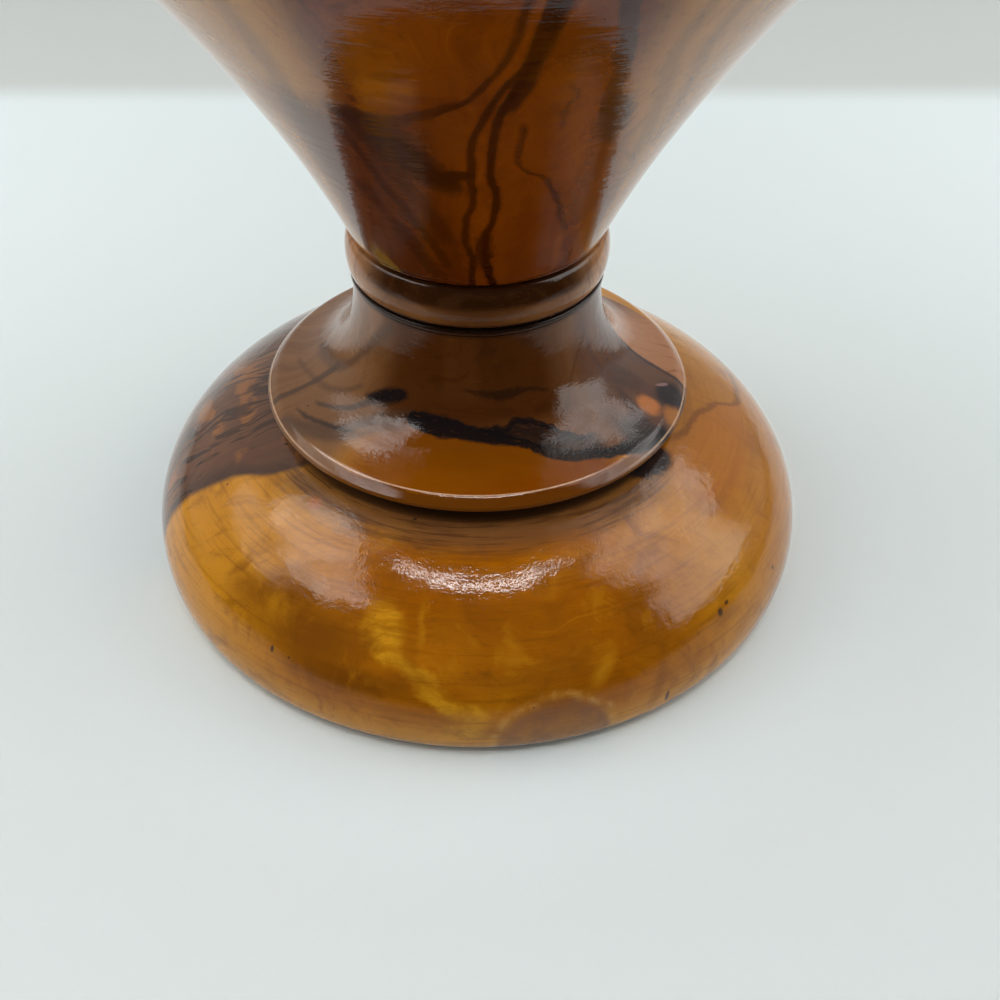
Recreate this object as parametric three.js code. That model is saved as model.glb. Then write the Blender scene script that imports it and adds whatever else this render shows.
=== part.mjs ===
// A turned olive wood vase. A domed foot carries a flared disc and a waist bead. A hollow body
// stands on it by a tenon, in two halves that lap at the widest line, and a neck collar with a
// flared lip sits in the opening of the shoulder. Millimetres, +Z up, origin at the centre of the
// foot's underside.
import * as THREE from 'three';

// Driving dimensions: the foot.
const footRadius = 81.5; // at the belly, the widest line of the foot
const bellyHeight = 9.5; // the belly above the table
const footTuck = 1.6; // how far the wall draws in below the belly
const footEdge = 1.2; // width of the rounding where the wall meets the table
const domeSlope = 0.147; // fall of the dome's top towards its edge, per millimetre
const domeSquareness = 0.513; // share of the dome's height that rises steeply from the belly
const domeFlatness = 0.476; // share of the dome's width that stays nearly level
const discRadius = 51; // the sharp rim of the disc
const discHeight = 46.6; // the rim above the table
const undercutHeight = 4.2; // from the dome's top up to the rim
const undercutDepth = 5.5; // how far the rim stands out over the root of the undercut
const ledgeWidth = 3; // nearly level band inside the rim
const ledgeRise = 0.9; // rise of that band
const flareRise = 29.2; // from the ledge up to the waist
const waistRadius = 28.7; // the slim end of the flare
const ringHeight = 1.1; // thin ring between the flare and the bead
const grooveDepth = 0.6; // the two fine grooves beside that ring
const grooveWidth = 0.6;
const beadHeight = 10.25; // the waist bead
const beadBulge = 1.5; // how far the bead stands out from the waist
const creaseDepth = 0.7; // the joint line between bead and body
const rimWidth = 20.4; // the flat ring that the foot stands on
const padThickness = 1.5; // the felt disc inside that ring
const padSetback = 0.4; // the felt above the table

// Driving dimensions: the body.
const bodyStep = 0.4; // the body's lower end stands out from the waist
const bodyRadius = 92; // the widest line
const bodyRise = 115; // from the lower end to the widest line
const flareSpread = 0.433; // radius gained per millimetre of rise at the lower end
const flareReach = 60.5; // how far that first direction carries
const bellyReach = 31.7; // how far the upright wall at the widest line carries
const shoulderRise = 48; // from the widest line to the shoulder's top
const shoulderReach = 30; // how far the upright wall carries into the shoulder
const shoulderSlope = 0.25; // fall of the shoulder beside the neck, per millimetre
const shoulderWidth = 30; // how far that slope carries
const bodyWall = 8;
const stemLength = 22; // solid wood between the body's lower end and the hollow
const hollowCorner = 10; // height of the rounding between the hollow's wall and its floor

// Driving dimensions: the joints.
const fit = 0.3; // glue gap between two faces
const tenonRadius = 15;
const tenonLength = 22;
const glueSpace = 0.8; // free depth below the tenon
const lapHeight = 6; // spigot of the lower half inside the upper half
const collarSeatWidth = 7; // the shoulder's level ring around its opening

// Driving dimensions: the neck collar.
const collarBoreRadius = 22;
const spigotWall = 7; // below the shoulder's top
const spigotLength = 9;
const collarBeadHeight = 7;
const collarBeadBulge = 1.6;
const neckWall = 8.5; // at the slimmest line of the neck
const neckRise = 10; // from the collar's bead to the slimmest line
const lipSpread = 15.5; // how far the lip stands out from the slimmest line
const lipRise = 19; // from the slimmest line to the top of the lip
const lipThickness = 6;
const lipWidth = 6; // level band on top of the lip

const turns = 48; // flat faces around the axis

// Heights and radii that follow.
const rootHeight = discHeight - undercutHeight;
const rootRadius = discRadius - undercutDepth;
const waistHeight = discHeight + ledgeRise + flareRise;
const beadFoot = waistHeight + ringHeight + 2 * grooveWidth;
const creaseHeight = beadFoot + beadHeight;
const widestHeight = creaseHeight + bodyRise;
const shoulderHeight = widestHeight + shoulderRise;
const collarSeat = shoulderHeight + fit;
const throatHeight = collarSeat + collarBeadHeight + neckRise;
const lipHeight = throatHeight + lipRise;
const standRadius = footRadius - footTuck - footEdge;
const padRadius = standRadius - rimWidth;
const tenonShoulder = waistRadius - creaseDepth;
const lapRadius = bodyRadius - bodyWall / 2;
const spigotRadius = collarBoreRadius + spigotWall;
const shoulderRadius = spigotRadius + fit + collarSeatWidth;
const neckRadius = collarBoreRadius + neckWall;
const lipRadius = neckRadius + lipSpread;

const point = (r, z) => new THREE.Vector2(r, z);

// Points of a cubic curve from start to end, drawn out along its two handles.
function sweep(start, startHandle, endHandle, end, steps) {
  return new THREE.CubicBezierCurve(start, startHandle, endHandle, end).getPoints(steps);
}

// A rounded moulding that leaves and meets the wall at one radius and stands out by bulge.
function bead(radius, low, height, bulge, steps) {
  const middle = low + height / 2;
  const curve = new THREE.EllipseCurve(radius, middle, bulge, height / 2, -Math.PI / 2, Math.PI / 2);
  return curve.getPoints(steps);
}

// The same line moved sideways by a wall's thickness, into the hollow.
function insideOf(line, wall) {
  return line.map((here, i) => {
    const before = line[Math.max(i - 1, 0)];
    const after = line[Math.min(i + 1, line.length - 1)];
    const along = after.clone().sub(before).normalize();
    return point(here.x - wall * along.y, here.y + wall * along.x);
  });
}

// A closed section, listed with the wood on its left, turned about the Z axis.
function turned(name, section, color, roughness) {
  const geometry = new THREE.LatheGeometry(section, turns);
  geometry.rotateX(Math.PI / 2);
  const material = new THREE.MeshStandardMaterial({ color, roughness, metalness: 0 });
  const mesh = new THREE.Mesh(geometry, material);
  mesh.name = name;
  return mesh;
}

// The foot's wall from the table over the belly to the root of the undercut.
function domeWall() {
  const level = domeFlatness * (footRadius - rootRadius);
  const steep = domeSquareness * (rootHeight - bellyHeight);
  const under = sweep(
    point(standRadius, 0),
    point(footRadius - 0.6 * footTuck, 0),
    point(footRadius, bellyHeight / 2),
    point(footRadius, bellyHeight),
    5,
  );
  const over = sweep(
    point(footRadius, bellyHeight),
    point(footRadius, bellyHeight + steep),
    point(rootRadius + level, rootHeight - domeSlope * level),
    point(rootRadius, rootHeight),
    10,
  );
  return [...under, ...over.slice(1)];
}

// The undercut, the rim, the ledge and the hollow sweep of the flare up to the waist.
function flareWall() {
  const ledgeRadius = discRadius - ledgeWidth;
  const ledgeHeight = discHeight + ledgeRise;
  const run = 0.62 * (ledgeRadius - waistRadius);
  return [
    point(rootRadius + undercutDepth * 0.3, rootHeight + undercutHeight * 0.8),
    point(discRadius, discHeight),
    ...sweep(
      point(ledgeRadius, ledgeHeight),
      point(ledgeRadius - run, ledgeHeight + (run * ledgeRise) / ledgeWidth),
      point(waistRadius, waistHeight - flareRise * 0.48),
      point(waistRadius, waistHeight),
      8,
    ),
  ];
}

// Two fine grooves with a thin ring between them, the bead, and the crease above it.
function waistWall() {
  const ringLow = waistHeight + grooveWidth;
  const ringHigh = ringLow + ringHeight;
  return [
    point(waistRadius - grooveDepth, waistHeight + grooveWidth / 2),
    point(waistRadius + grooveDepth, ringLow),
    point(waistRadius + grooveDepth, ringHigh),
    point(waistRadius - grooveDepth, ringHigh + grooveWidth / 2),
    ...bead(waistRadius, beadFoot, beadHeight - creaseDepth / 2, beadBulge, 6),
    point(tenonShoulder, creaseHeight - fit / 2),
  ];
}

// One blank: dome, disc, flare and bead, with the mortise above and the felt's recess below.
function foot() {
  const recessRadius = padRadius + fit;
  const recessHeight = padSetback + padThickness + fit;
  const mortiseRadius = tenonRadius + fit;
  const mortiseFloor = creaseHeight - tenonLength - glueSpace;
  const section = [
    point(0, recessHeight),
    point(recessRadius, recessHeight),
    point(recessRadius, 0),
    ...domeWall(),
    ...flareWall(),
    ...waistWall(),
    point(mortiseRadius, creaseHeight - fit / 2),
    point(mortiseRadius, mortiseFloor),
    point(0, mortiseFloor),
  ];
  return turned('foot', section, 0x9c5a1f, 0.2);
}

function feltPad() {
  const section = [
    point(0, padSetback),
    point(padRadius, padSetback),
    point(padRadius, padSetback + padThickness),
    point(0, padSetback + padThickness),
  ];
  return turned('felt_pad', section, 0x4a3524, 0.95);
}

// The body's wall from its lower end to the widest line.
function lowerWall() {
  const footEnd = waistRadius + bodyStep;
  return sweep(
    point(footEnd, creaseHeight + creaseDepth),
    point(footEnd + flareSpread * flareReach, creaseHeight + flareReach),
    point(bodyRadius, widestHeight - bellyReach),
    point(bodyRadius, widestHeight),
    13,
  );
}

// The hollow's wall from the widest line down to its rounded floor, and in to the axis.
function lowerHollow(wall) {
  const floor = creaseHeight + stemLength;
  const inside = insideOf(wall, bodyWall).filter((spot) => spot.y > floor + hollowCorner);
  const lowest = inside[0];
  const corner = sweep(
    lowest,
    point(lowest.x * 0.85, floor + hollowCorner * 0.3),
    point(lowest.x * 0.6, floor),
    point(0, floor),
    5,
  );
  return [...inside.reverse(), ...corner.slice(1)];
}

// The lower half: tenon, flaring wall, and the spigot that laps into the upper half.
function bodyLower() {
  const wall = lowerWall();
  const tenonFoot = creaseHeight - tenonLength;
  const jointHeight = widestHeight - fit / 2;
  const section = [
    point(0, tenonFoot),
    point(tenonRadius, tenonFoot),
    point(tenonRadius, creaseHeight + fit / 2),
    point(tenonShoulder, creaseHeight + fit / 2),
    ...wall.slice(0, -1),
    point(bodyRadius, jointHeight),
    point(lapRadius, jointHeight),
    point(lapRadius, jointHeight + lapHeight),
    point(bodyRadius - bodyWall, jointHeight + lapHeight),
    ...lowerHollow(wall),
  ];
  return turned('body_lower', section, 0x8a4a17, 0.18);
}

// The body's wall from the widest line over the shoulder to its level top.
function shoulderWall() {
  return sweep(
    point(bodyRadius, widestHeight + fit / 2),
    point(bodyRadius, widestHeight + shoulderReach),
    point(shoulderRadius + shoulderWidth, shoulderHeight - shoulderSlope * shoulderWidth),
    point(shoulderRadius, shoulderHeight),
    11,
  );
}

// The upper half: the rebate over the spigot, the shoulder, and the opening for the collar.
function bodyUpper() {
  const wall = shoulderWall();
  const openingRadius = spigotRadius + fit;
  const rebateRadius = lapRadius + fit;
  const rebateTop = widestHeight + lapHeight + fit;
  const inside = insideOf(wall, bodyWall).filter((spot) => spot.y > rebateTop && spot.x > openingRadius);
  const innermost = inside[inside.length - 1];
  const section = [
    point(rebateRadius, widestHeight + fit / 2),
    ...wall,
    point(openingRadius, shoulderHeight),
    point(openingRadius, innermost.y),
    ...inside.reverse(),
    point(bodyRadius - bodyWall, rebateTop),
    point(rebateRadius, rebateTop),
    point(rebateRadius, widestHeight + fit / 2),
  ];
  return turned('body_upper', section, 0x8a4a17, 0.18);
}

// The neck's outside from the collar's bead to the rounded edge of the lip.
function neckOutside(beadTop) {
  const edgeRound = lipThickness * 0.2;
  const lipFoot = lipHeight - lipThickness;
  const lower = sweep(
    point(shoulderRadius - collarBeadBulge, beadTop),
    point(neckRadius, beadTop + neckRise * 0.25),
    point(neckRadius, throatHeight - neckRise * 0.4),
    point(neckRadius, throatHeight),
    4,
  );
  const upper = sweep(
    point(neckRadius, throatHeight),
    point(neckRadius, throatHeight + lipRise * 0.55),
    point(lipRadius - edgeRound - lipSpread * 0.45, lipFoot),
    point(lipRadius - edgeRound, lipFoot),
    7,
  );
  const edge = bead(lipRadius - edgeRound, lipFoot, lipThickness, edgeRound, 4);
  return [...lower, ...upper.slice(1), ...edge.slice(1)];
}

// The collar: a spigot in the shoulder's opening, a bead on the shoulder, the neck and the lip.
function neckCollar() {
  const beadTop = collarSeat + collarBeadHeight;
  const spigotFoot = shoulderHeight - spigotLength;
  const mouthRadius = lipRadius - lipWidth;
  const section = [
    point(collarBoreRadius, spigotFoot),
    point(spigotRadius, spigotFoot),
    point(spigotRadius, collarSeat),
    ...bead(shoulderRadius - collarBeadBulge, collarSeat, collarBeadHeight, collarBeadBulge, 6),
    ...neckOutside(beadTop).slice(1),
    ...sweep(
      point(mouthRadius, lipHeight),
      point(mouthRadius - lipSpread * 0.43, lipHeight - lipRise * 0.1),
      point(collarBoreRadius, throatHeight + lipRise * 0.5),
      point(collarBoreRadius, throatHeight),
      6,
    ),
    point(collarBoreRadius, spigotFoot),
  ];
  return turned('neck_collar', section, 0x8f5220, 0.18);
}

const group = new THREE.Group();
group.add(foot(), feltPad(), bodyLower(), bodyUpper(), neckCollar());

export default group;
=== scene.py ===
"""A turned olive wood vase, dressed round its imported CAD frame.

Every piece is a section carried round the Z axis as one numpy grid. The woods are mixed from
Object coordinates and from each point's path length along the section, so that the figure
stays on the wood from every side. Section sizes are in millimetres, the scene is in metres.
"""

import logging
import math
from dataclasses import dataclass
from enum import Enum
from typing import Any, Mapping, Optional, Sequence, Union

import bpy
import numpy as np
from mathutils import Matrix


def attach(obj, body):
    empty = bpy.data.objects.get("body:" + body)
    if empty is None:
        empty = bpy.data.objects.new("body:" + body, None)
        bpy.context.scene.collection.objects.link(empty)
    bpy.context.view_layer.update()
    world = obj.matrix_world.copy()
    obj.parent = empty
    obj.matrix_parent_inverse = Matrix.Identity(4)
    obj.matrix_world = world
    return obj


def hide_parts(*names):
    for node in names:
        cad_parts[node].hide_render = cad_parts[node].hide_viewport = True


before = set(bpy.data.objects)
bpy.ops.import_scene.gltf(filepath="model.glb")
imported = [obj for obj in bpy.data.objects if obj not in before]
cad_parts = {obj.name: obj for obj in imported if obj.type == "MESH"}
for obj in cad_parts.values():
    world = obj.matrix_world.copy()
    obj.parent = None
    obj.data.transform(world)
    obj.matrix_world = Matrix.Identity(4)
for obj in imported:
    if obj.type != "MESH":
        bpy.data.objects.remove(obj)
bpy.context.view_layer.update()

# Metres in a millimetre, and a length in mm that counts as none
MM = 0.001
TINY = 1e-6
# Degrees between two faces past which their edge is shaded sharp
SHARP_ANGLE = 38.0
# How far slow noise bends the grain, and how far a vein fades at its ends, in mm
DRIFT = 26.0
VEIN_END = 2.0
ROOT = "root"
LOG = logging.getLogger("vase")

Spot = tuple[float, float]
Point = tuple[float, float, float]
Colour = tuple[float, float, float]
Number = Union["Value", float]


class Grain(Enum):
    """Which way a blank's grain runs: the stretch of its streaks and of its growth layers."""

    LEVEL = ((0.012, 0.42, 0.14), (0.02, 0.30, 0.06))
    UPRIGHT = ((0.45, 0.45, 0.012), (0.10, 0.16, 0.014))


# Shader maths


class Value:
    """A shader socket that carries one number and takes part in Python arithmetic."""

    def __init__(self, nodes: "Nodes", socket: bpy.types.NodeSocket) -> None:
        """Wraps a socket.

        Args:
            nodes: the node tree that new Math nodes are added to.
            socket: the output socket that carries the number.
        """
        self.nodes = nodes
        self.socket = socket

    def _math(self, operation: str, *parts: Number) -> "Value":
        """Adds one Math node.

        Args:
            operation: the Math node's operation.
            parts: its operands in order.

        Returns:
            The node's result.
        """
        inputs = dict(enumerate(parts))
        return self.nodes.value("ShaderNodeMath", {"operation": operation}, inputs)

    def __add__(self, other: Number) -> "Value":
        """Sum."""
        return self._math("ADD", self, other)

    __radd__ = __add__

    def __sub__(self, other: Number) -> "Value":
        """Difference."""
        return self._math("SUBTRACT", self, other)

    def __rsub__(self, other: Number) -> "Value":
        """Difference from a number on the left."""
        return self._math("SUBTRACT", other, self)

    def __mul__(self, other: Number) -> "Value":
        """Product."""
        return self._math("MULTIPLY", self, other)

    __rmul__ = __mul__

    def __truediv__(self, other: Number) -> "Value":
        """Quotient."""
        return self._math("DIVIDE", self, other)

    def __rtruediv__(self, other: Number) -> "Value":
        """Quotient of a number on the left."""
        return self._math("DIVIDE", other, self)

    def __neg__(self) -> "Value":
        """Negative."""
        return self * -1.0

    def __pow__(self, other: Number) -> "Value":
        """Power."""
        return self._math("POWER", self, other)

    def __abs__(self) -> "Value":
        """Size without sign."""
        return self._math("ABSOLUTE", self)

    def least(self, other: Number) -> "Value":
        """The smaller of two."""
        return self._math("MINIMUM", self, other)

    def most(self, other: Number) -> "Value":
        """The larger of two."""
        return self._math("MAXIMUM", self, other)

    def angle(self, other: Number) -> "Value":
        """Angle in radians whose tangent is this over other."""
        return self._math("ARCTAN2", self, other)

    def root(self) -> "Value":
        """Square root."""
        return self._math("SQRT", self)

    def wrap(self, half: float) -> "Value":
        """Brought between -half and half by whole turns."""
        return self._math("WRAP", self, half, -half)

    def ramp(self, low: float, high: float) -> "Value":
        """Smooth step from 0 at low to 1 at high; low may be the larger."""
        inputs = {"Value": self, "From Min": low, "From Max": high}
        return self.nodes.value("ShaderNodeMapRange", {"interpolation_type": "SMOOTHSTEP"}, inputs)

    def band(self, half: float, soft: float) -> "Value":
        """1 within half of zero, fading to 0 over soft."""
        return abs(self).ramp(half + soft, half)

    def follow(self, spots: Sequence[Spot]) -> "Value":
        """A smooth curve through (input, output) points, level beyond its ends.

        The input is brought to 0..1 over the points' span, a Float Curve node gives the output
        between 0 and 1, and that is brought back to the points' own range.

        Args:
            spots: points in rising order of input.

        Returns:
            The curve's output.
        """
        table = np.array(spots, float)
        low, high = table.min(0), table.max(0)
        span = high - low
        inputs = {"Value": self, "From Min": float(low[0]), "From Max": float(high[0])}
        place = self.nodes.value("ShaderNodeMapRange", {}, inputs)
        points = (table - low) / np.where(span > 0, span, 1)
        curve = self.nodes.value("ShaderNodeFloatCurve", {"curve": points}, {"Value": place})
        return curve * float(span[1]) + float(low[1])


class Nodes:
    """The node tree of one material or of the world."""

    def __init__(self, tree: bpy.types.NodeTree) -> None:
        """Empties a tree.

        Args:
            tree: the tree to fill.
        """
        self.tree = tree
        tree.nodes.clear()

    def add(
        self, kind: str, settings: Mapping[str, Any], inputs: Mapping[Any, Any]
    ) -> bpy.types.Node:
        """Adds a node, sets it, then links or fills its sockets.

        Args:
            kind: the node's type.
            settings: its properties; "curve" holds the points of a float curve.
            inputs: socket name or number against a Value, a socket, a number, a tuple, or a
                node that gives its first output.

        Returns:
            The new node.
        """
        node = self.tree.nodes.new(kind)
        for name, setting in settings.items():
            if name == "curve":
                self._fill_curve(node.mapping, setting)
            else:
                setattr(node, name, setting)
        for name, given in inputs.items():
            source = given.socket if isinstance(given, Value) else given
            source = source.outputs[0] if isinstance(source, bpy.types.Node) else source
            if isinstance(source, bpy.types.NodeSocket):
                self.tree.links.new(source, node.inputs[name])
            else:
                node.inputs[name].default_value = source
        return node

    @staticmethod
    def _fill_curve(mapping: bpy.types.CurveMapping, points: np.ndarray) -> None:
        """Puts points into a float curve that has two to start with.

        Args:
            mapping: the node's curve mapping.
            points: (x, y) rows between 0 and 1.
        """
        curve = mapping.curves[0]
        for place, height in points[1:-1]:
            curve.points.new(float(place), float(height))
        for point, spot in zip(curve.points, points):
            point.location = spot
            point.handle_type = "AUTO_CLAMPED"
        mapping.update()

    def value(self, kind: str, settings: Mapping[str, Any], inputs: Mapping[Any, Any]) -> Value:
        """Adds a node and wraps its first output."""
        return Value(self, self.add(kind, settings, inputs).outputs[0])

    def place(self, kind: str = "Object") -> bpy.types.NodeSocket:
        """Where the shaded point lies, in the coordinates that are named."""
        return self.add("ShaderNodeTexCoord", {}, {}).outputs[kind]

    def split(self, place: bpy.types.NodeSocket) -> list[Value]:
        """The x, y and z of a vector."""
        return [Value(self, part) for part in self.add("ShaderNodeSeparateXYZ", {}, {0: place}).outputs]

    def point(self, x: Number, y: Number, z: Number) -> bpy.types.NodeSocket:
        """A vector from three numbers."""
        return self.add("ShaderNodeCombineXYZ", {}, {0: x, 1: y, 2: z}).outputs[0]

    def glossy(self) -> Value:
        """1 for a ray that comes off a glossy surface."""
        return Value(self, self.add("ShaderNodeLightPath", {}, {}).outputs["Is Glossy Ray"])

    def vector(self, operation: str, *parts: Any) -> bpy.types.NodeSocket:
        """Adds one Vector Math node and returns its vector."""
        node = self.add("ShaderNodeVectorMath", {"operation": operation}, dict(enumerate(parts)))
        return node.outputs[0]

    def mix(self, share: Number, first: Any, second: Any) -> bpy.types.NodeSocket:
        """Blends two colours.

        Args:
            share: 0 for the first colour, 1 for the second.
            first: a colour or a colour socket.
            second: a colour or a colour socket.

        Returns:
            The blend's socket.
        """
        fill = [(*c, 1.0) if isinstance(c, tuple) else c for c in (first, second)]
        node = self.add("ShaderNodeMix", {"data_type": "RGBA"}, {0: share, 6: fill[0], 7: fill[1]})
        return node.outputs[2]

    def noise(
        self, place: Any, scale: float, detail: float = 2.0, rough: float = 0.5, twist: float = 0.0
    ) -> Value:
        """Smooth noise between about 0 and 1.

        Args:
            place: the vector it is read at.
            scale: features per unit of that vector.
            detail: how many finer layers are added.
            rough: strength of each finer layer.
            twist: how far the noise bends itself.

        Returns:
            The noise.
        """
        inputs = {"Vector": place, "Scale": scale, "Detail": detail, "Roughness": rough}
        return self.value("ShaderNodeTexNoise", {}, {**inputs, "Distortion": twist})


def off_axis(x: Value, y: Value) -> Value:
    """Distance from the Z axis."""
    return (x * x + y * y).root()


def bearing(x: Value, y: Value) -> Value:
    """Degrees round the Z axis, from the front towards +X."""
    return x.angle(-y) * math.degrees(1)


def new_material(name: str) -> tuple[bpy.types.Material, Nodes]:
    """Makes a material with an empty node tree.

    Args:
        name: its name.

    Returns:
        The material and its tree.
    """
    material = bpy.data.materials.new(name)
    material.use_nodes = True
    return material, Nodes(material.node_tree)


class Coat:
    """A colour that other colours are laid over, in one zone of the wood."""

    def __init__(self, nodes: Nodes, colour: Any, zone: Optional[Value] = None) -> None:
        """Starts with one colour.

        Args:
            nodes: the node tree.
            colour: the ground.
            zone: 1 where other colours may lie; without it they lie everywhere.
        """
        self.nodes = nodes
        self.colour = colour
        self.zone = zone

    def lay(self, share: Value, ink: Any) -> None:
        """Lays a colour over the others.

        Args:
            share: 0 where it leaves them, 1 where it covers them.
            ink: a colour or a colour socket.
        """
        share = share if self.zone is None else share * self.zone
        self.colour = self.nodes.mix(share, self.colour, ink)


# Sections and meshes


class Outline:
    """A closed section as (radius, height) spots in mm, listed with the wood on its left."""

    def __init__(self, *spots: Spot) -> None:
        """Starts the section.

        Args:
            spots: its first points.
        """
        self.parts = [np.array(spots, float)]
        self.marks: dict[str, int] = {}
        self.shift = 0.0

    def last(self) -> np.ndarray:
        """The section's last point so far."""
        return self.parts[-1][-1]

    def line(self, end: Spot, step: float = 4.0) -> "Outline":
        """Goes straight to a point, in equal steps.

        Args:
            end: the point.
            step: the longest step in mm.

        Returns:
            This outline.
        """
        start = self.last()
        count = max(1, math.ceil(math.dist(start, end) / step))
        share = np.linspace(0, 1, count + 1)[1:, None]
        self.parts.append(start + (np.array(end) - start) * share)
        return self

    def sweep(self, out: Spot, back: Spot, end: Spot, steps: int) -> "Outline":
        """Goes along a cubic curve.

        The point at share t is the start, two handles and end weighted by (1-t) cubed,
        3t(1-t) squared, 3t squared (1-t) and t cubed.

        Args:
            out: the handle at the start.
            back: the handle at the end.
            end: the curve's end.
            steps: how many pieces it is cut into.

        Returns:
            This outline.
        """
        a, b, c, d = (np.array(spot, float) for spot in (self.last(), out, back, end))
        t = np.linspace(0, 1, steps + 1)[1:, None]
        s = 1 - t
        self.parts.append(a * s**3 + 3 * b * t * s**2 + 3 * c * t**2 * s + d * t**3)
        return self

    def bend(self, corner: Spot, end: Spot, reach: float, steps: int = 5) -> "Outline":
        """Goes towards a corner and on to a point, with the corner softened.

        The softened corner is the curve (1-t) squared, 2t(1-t), t squared between the points
        that lie reach mm before and after it.

        Args:
            corner: the sharp corner.
            end: where the second straight line ends.
            reach: how far from the corner the softening starts.
            steps: how many pieces the softening is cut into.

        Returns:
            This outline.
        """
        start, middle, finish = (np.array(s, float) for s in (self.last(), corner, end))
        before = middle + (start - middle) * min(1, reach / max(math.dist(start, middle), TINY))
        after = middle + (finish - middle) * min(1, reach / max(math.dist(finish, middle), TINY))
        if math.dist(start, before) > TINY:
            self.line(tuple(before))
        t = np.linspace(0, 1, steps + 1)[1:, None]
        self.parts.append(before * (1 - t) ** 2 + 2 * middle * t * (1 - t) + after * t**2)
        if math.dist(after, finish) > TINY:
            self.line(tuple(finish))
        return self

    def bead(self, top: float, bulge: float, steps: int) -> "Outline":
        """Goes up half an ellipse that ends straight above its start.

        At angle a from -90 to 90 degrees the point stands out by bulge times cos a, at a height
        of the middle plus half the bead's height times sin a.

        Args:
            top: the height where it ends.
            bulge: how far it stands out, in mm.
            steps: how many pieces it is cut into.

        Returns:
            This outline.
        """
        start = self.last()
        turn = np.linspace(-math.pi / 2, math.pi / 2, steps + 1)[1:]
        half = (top - start[1]) / 2
        points = (start[0] + bulge * np.cos(turn), start[1] + half * (1 + np.sin(turn)))
        self.parts.append(np.column_stack(points))
        return self

    def mark(self, name: str, shift: float = 0.0) -> "Outline":
        """Names the last point.

        Args:
            name: the mark's name; path lengths are counted from the one named "table".
            shift: taken off all path lengths, in mm.

        Returns:
            This outline.
        """
        self.marks[name] = sum(len(part) for part in self.parts) - 1
        self.shift += shift
        return self

    def spots(self) -> np.ndarray:
        """All points of the section."""
        return np.vstack(self.parts)

    def runs(self) -> np.ndarray:
        """Path length of every point along the section, in mm from the mark "table".

        Returns:
            One length for each point.
        """
        steps = np.hypot(*np.diff(self.spots(), axis=0).T)
        length = np.concatenate([[0.0], np.cumsum(steps)])
        return length - length[self.marks.get("table", 0)] - self.shift

    def run_at(self, name: str) -> float:
        """Path length of a marked point, in mm."""
        return float(self.runs()[self.marks[name]])


def inset(line: np.ndarray, wall: float) -> np.ndarray:
    """Moves a line of points sideways to its left by a wall's thickness.

    Each point moves by wall along the left normal of the chord between its neighbours.

    Args:
        line: points of the outer wall, going up.
        wall: the thickness in mm.

    Returns:
        The inner wall's points, in the same order.
    """
    chord = np.gradient(line, axis=0)
    chord /= np.hypot(*chord.T)[:, None]
    return line + wall * np.column_stack([-chord[:, 1], chord[:, 0]])


def turned(name: str, outline: Outline, turns: int = 384) -> bpy.types.Object:
    """Carries a section round the Z axis.

    Point (i, j) of the grid is (r sin a, -r cos a, z) with r and z from spot i of the section
    and a = 2 pi j / turns. A spot on the axis is one point, the last turn joins the first, and
    a section that doesn't end on the axis is closed from its last spot to its first.

    Args:
        name: the new object's name.
        outline: the section.
        turns: how many steps go round.

    Returns:
        The object, at the origin, with each point's path length in the attribute "run".
    """
    spots, runs = outline.spots(), outline.runs()
    on_axis = spots[:, 0] < TINY
    count = np.where(on_axis, 1, turns)
    first = np.concatenate([[0], np.cumsum(count)[:-1]])
    row = np.repeat(np.arange(len(spots)), count)
    angle = (np.arange(len(row)) - first[row]) * (2 * math.pi / turns)
    radius = spots[row, 0]
    co = np.column_stack([radius * np.sin(angle), -radius * np.cos(angle), spots[row, 1]]) * MM

    around = np.arange(turns)
    index = first[:, None] + np.where(on_axis[:, None], 0, around[None, :])
    if not on_axis[0]:
        index = np.vstack([index, index[:1]])
    beside = np.roll(index, -1, axis=1)
    quads = np.stack([index[:-1], beside[:-1], beside[1:], index[1:]], axis=-1).reshape(-1, 4)
    low_pole = quads[:, 0] == quads[:, 1]
    high_pole = quads[:, 2] == quads[:, 3]
    faces = quads[~low_pole & ~high_pole].tolist()
    faces += quads[low_pole][:, [0, 2, 3]].tolist() + quads[high_pole & ~low_pole][:, :3].tolist()

    mesh = bpy.data.meshes.new(name)
    mesh.from_pydata(co, [], faces)
    path = mesh.attributes.new("run", "FLOAT", "POINT")
    path.data.foreach_set("value", runs[row].astype(np.float32))
    mesh.shade_smooth()
    mesh.set_sharp_from_angle(angle=math.radians(SHARP_ANGLE))
    mesh.update()
    return in_scene(name, mesh)


def in_scene(name: str, data: bpy.types.ID) -> bpy.types.Object:
    """Makes an object and links it into the scene.

    Args:
        name: its name.
        data: its mesh or camera.

    Returns:
        The object.
    """
    thing = bpy.data.objects.new(name, data)
    bpy.context.scene.collection.objects.link(thing)
    return thing


def settle(piece: bpy.types.Object, node: str, material: bpy.types.Material) -> None:
    """Dresses a piece and puts it in the frame in place of a CAD node.

    Args:
        piece: the finished object.
        node: the CAD node it stands for.
        material: its finish.
    """
    piece.data.materials.append(material)
    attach(piece, ROOT)
    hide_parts(node)
    piece.data.calc_loop_triangles()
    LOG.info("%s stands for %s, %d triangles", piece.name, node, len(piece.data.loop_triangles))


# Finishes


@dataclass(frozen=True)
class Vein:
    """A dark line in the wood that runs along the section.

    Attributes:
        path: (path length mm, azimuth degrees) points in rising order of length.
        half: half its width in mm.
        soft: fade at its edges in mm.
        depth: its strength from 0 to 1.
    """

    path: tuple[Spot, ...]
    half: float
    soft: float
    depth: float


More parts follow.
